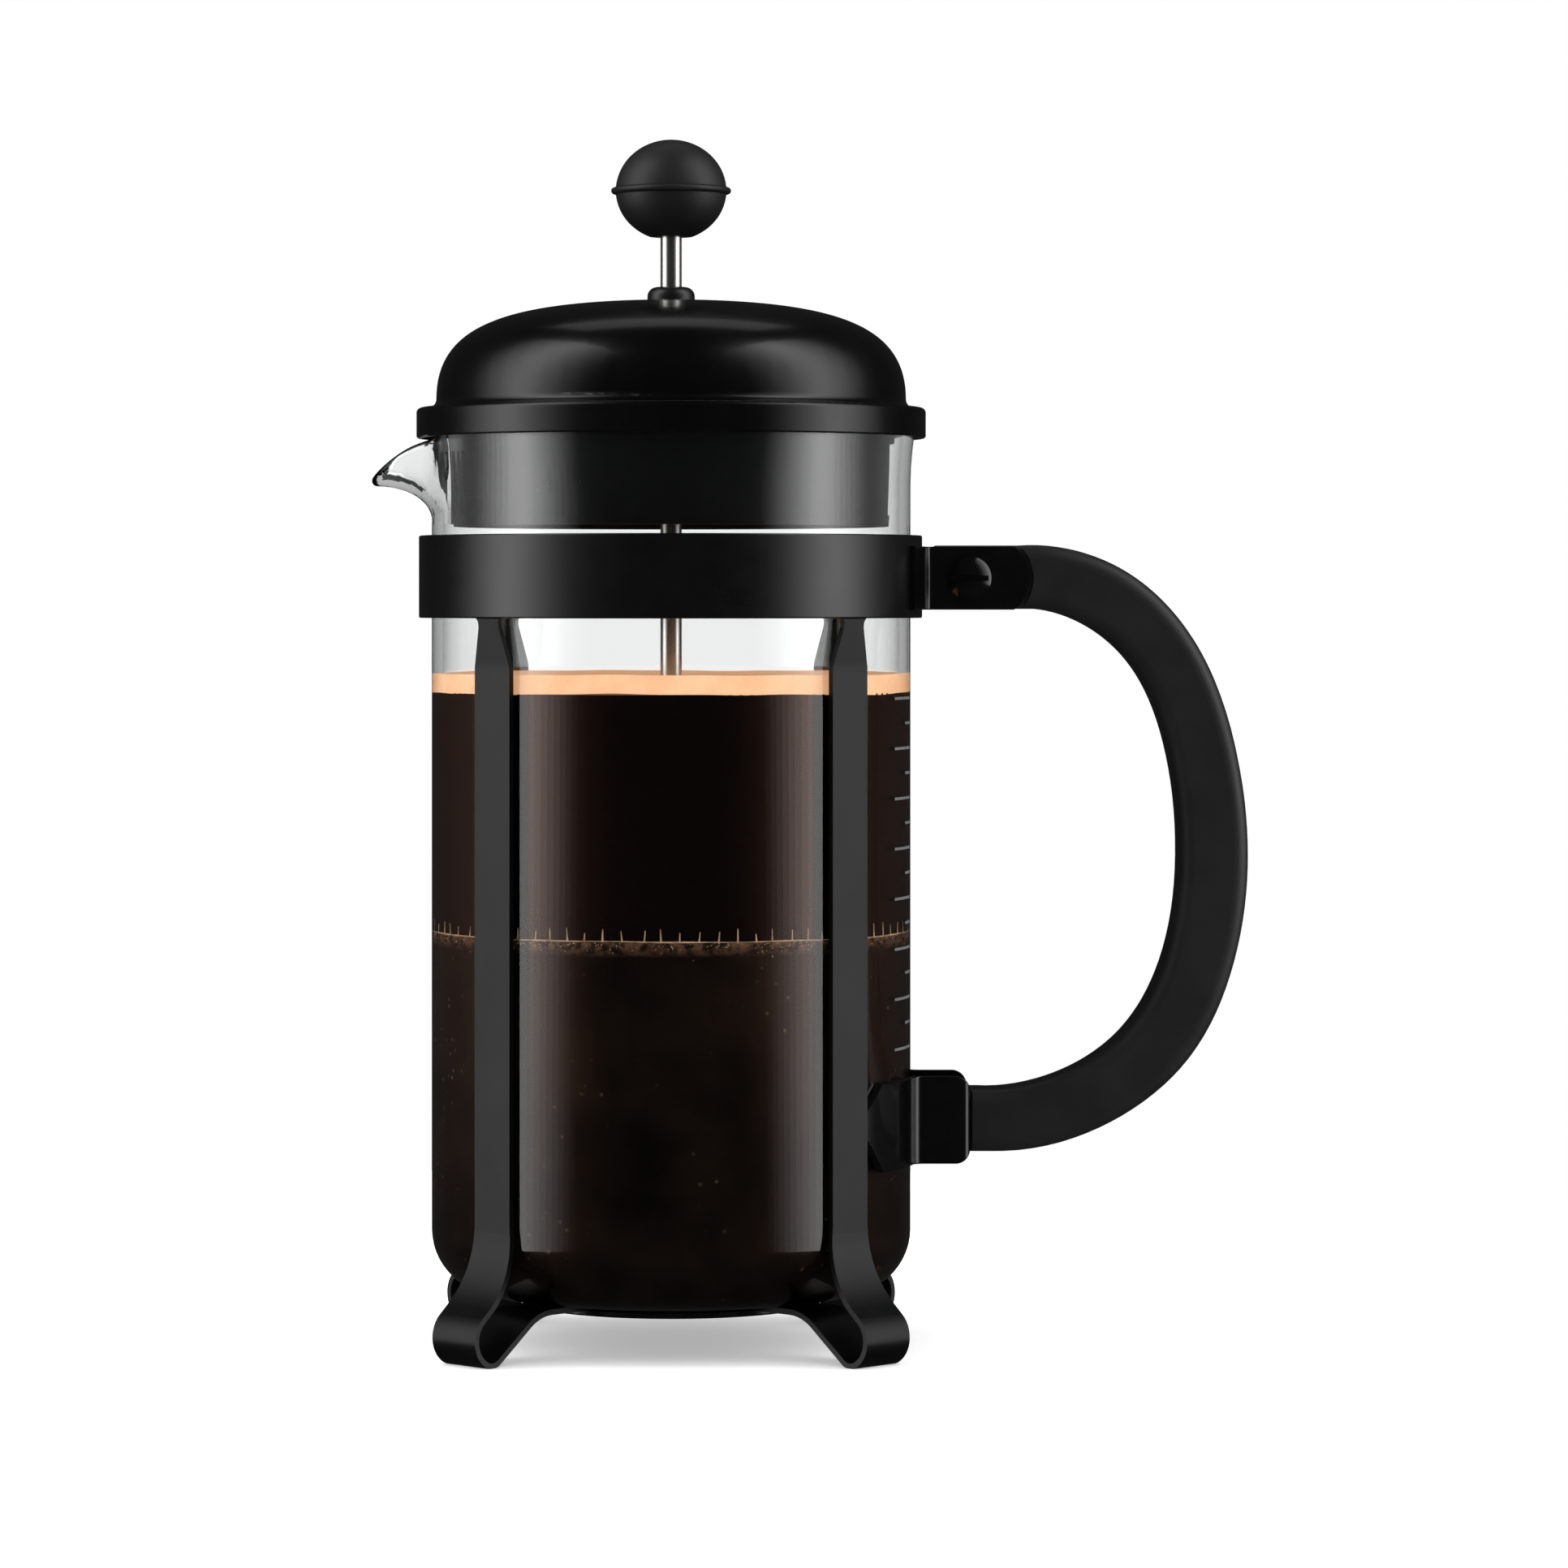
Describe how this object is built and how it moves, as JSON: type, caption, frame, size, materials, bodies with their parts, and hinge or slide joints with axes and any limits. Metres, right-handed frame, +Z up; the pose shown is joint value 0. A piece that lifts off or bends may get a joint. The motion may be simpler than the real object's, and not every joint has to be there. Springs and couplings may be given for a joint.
{
  "type": "french press",
  "caption": "French press coffee maker: round glass beaker with a spout in a black steel strap frame, side handle, domed lid and a plunger with a mesh filter.",
  "frame": {"origin": "under the middle of the whole press, handle and spout included, on the surface that the four feet stand on; the beaker's axis is at X -27.88 mm, Y 0", "axes": "+Z up along the beaker and the plunger rod, +X towards the handle, -X towards the spout"},
  "size_m": [0.1768, 0.103, 0.2431],
  "materials": {
    "frame_paint": "satin black paint",
    "handle_plastic": "fine matte black",
    "knob_plastic": "matte black",
    "guide_plastic": "satin black",
    "lid_plastic": "glossy black",
    "strainer_plastic": "dark grey, satin",
    "screw_black": "black oxide",
    "beaker_glass": "clear borosilicate",
    "rod_steel": "polished stainless",
    "filter_steel": "stamped stainless",
    "spring_steel": "drawn stainless wire",
    "mesh_steel": "fine woven stainless",
    "insert_brass": "turned"
  },
  "bodies": {
    "frame": {"frame_band": "frame_paint", "leg_front_right": "frame_paint", "leg_back_right": "frame_paint", "leg_back_left": "frame_paint", "leg_front_left": "frame_paint", "base_disc": "frame_paint", "upper_bracket_front": "frame_paint", "upper_bracket_back": "frame_paint", "lower_clip_front": "frame_paint", "lower_clip_back": "frame_paint", "handle": "handle_plastic", "handle_screw": "screw_black", "handle_washer": "screw_black", "handle_nut": "screw_black"},
    "beaker": {"glass_beaker": "beaker_glass"},
    "guide": {"rod_guide": "guide_plastic", "guide_washer": "guide_plastic", "guide_clip": "filter_steel"},
    "lid": {"lid_dome": "lid_plastic", "lid_strainer": "strainer_plastic"},
    "plunger": {"knob_cap": "knob_plastic", "knob_base": "knob_plastic", "knob_insert": "insert_brass", "plunger_rod": "rod_steel", "rod_collar": "filter_steel", "spiral_plate": "filter_steel", "filter_spring": "spring_steel", "mesh_screen": "mesh_steel", "mesh_eyelet": "filter_steel", "cross_plate": "filter_steel", "cross_plate_hub": "filter_steel"}
  },
  "joints": [
    {"name": "beaker_lift", "type": "slide", "parent": "frame", "child": "beaker", "axis": [0, 0, 1], "range_m": [0, 0.165]},
    {"name": "lid_lift", "type": "slide", "parent": "beaker", "child": "guide", "axis": [0, 0, 1], "range_m": [0, 0.165]},
    {"name": "lid_turn", "type": "hinge", "parent": "guide", "child": "lid", "pos_m": [-0.02788, 0, 0.19], "axis": [0, 0, 1], "continuous": true},
    {"name": "plunger_press", "type": "slide", "parent": "guide", "child": "plunger", "axis": [0, 0, 1], "range_m": [-0.01, 0.12]}
  ]
}
